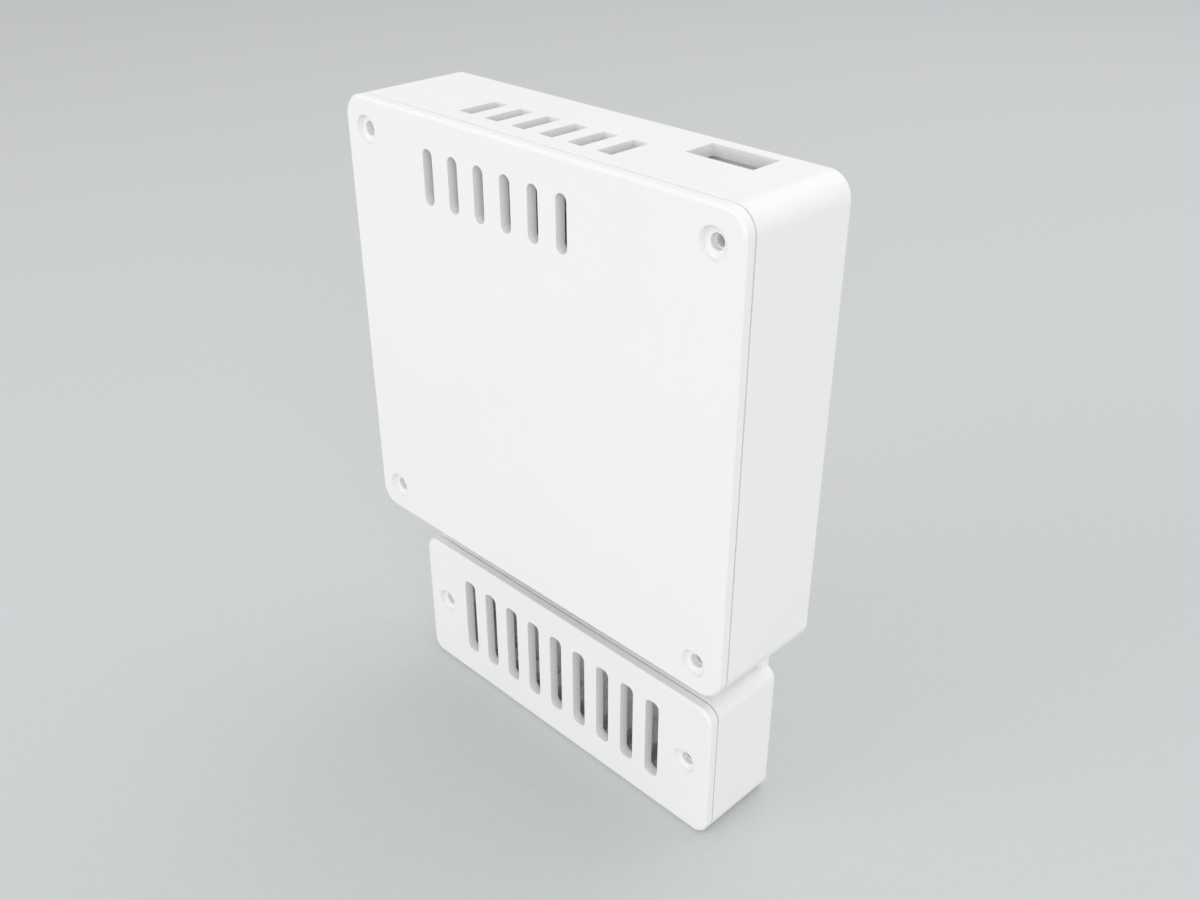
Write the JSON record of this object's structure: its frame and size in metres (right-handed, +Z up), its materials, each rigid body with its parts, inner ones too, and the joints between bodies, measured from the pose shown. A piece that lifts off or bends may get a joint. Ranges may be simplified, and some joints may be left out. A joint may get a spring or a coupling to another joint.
{
  "type": "controller case",
  "caption": "Flat wall controller case with a slotted cover and cable entry, joined by a thin back plate to a smaller slotted sensor case below an open gap.",
  "frame": {"origin": "under the middle of the case, at half its depth, on the lower case's underside", "axes": "+X to the right seen from the front, +Y from the covers to the wall behind, +Z up"},
  "size_m": [0.112, 0.0294, 0.1522],
  "materials": {
    "shell_plastic": "printed white plastic, satin",
    "cover_plastic": "printed white plastic, satin",
    "circuit_board": "green solder mask",
    "steel": "zinc plated",
    "terminal_plastic": "moulded green plastic",
    "relay_plastic": "moulded blue plastic",
    "black_plastic": "moulded black plastic",
    "diode_body": "moulded black",
    "aluminium": "extruded",
    "capacitor_sleeve": "shrunk sleeve",
    "fuse_ceramic": "white ceramic",
    "tinned": "tin plated",
    "header_plastic": "moulded natural plastic",
    "gold_pins": "plated pins",
    "sensor_body": "moulded white"
  },
  "bodies": {
    "root": {"rear_shell": "shell_plastic", "main_cover": "cover_plastic", "lower_cover": "cover_plastic", "controller_board": "circuit_board", "board_screws": "steel", "terminal_body": "terminal_plastic", "terminal_clamps": "tinned", "terminal_screws": "steel", "relay_left": "relay_plastic", "relay_right": "relay_plastic", "relay_diodes": "diode_body", "heatsink": "aluminium", "regulator": "black_plastic", "regulator_screw": "steel", "supply_capacitors": "capacitor_sleeve", "fuse_tube": "fuse_ceramic", "fuse_caps": "tinned", "fuse_clips": "tinned", "processor": "black_plastic", "processor_leads": "tinned", "crystal": "tinned", "chip_resistors": "black_plastic", "cell_holder": "black_plastic", "backup_cell": "steel", "cell_strap": "tinned", "main_header": "header_plastic", "main_header_pins": "gold_pins", "program_header": "black_plastic", "program_pins": "gold_pins", "sensor_board": "circuit_board", "sensor_board_screws": "steel", "sensor_header": "header_plastic", "sensor_header_pins": "gold_pins", "air_sensor": "sensor_body"}
  },
  "joints": []
}
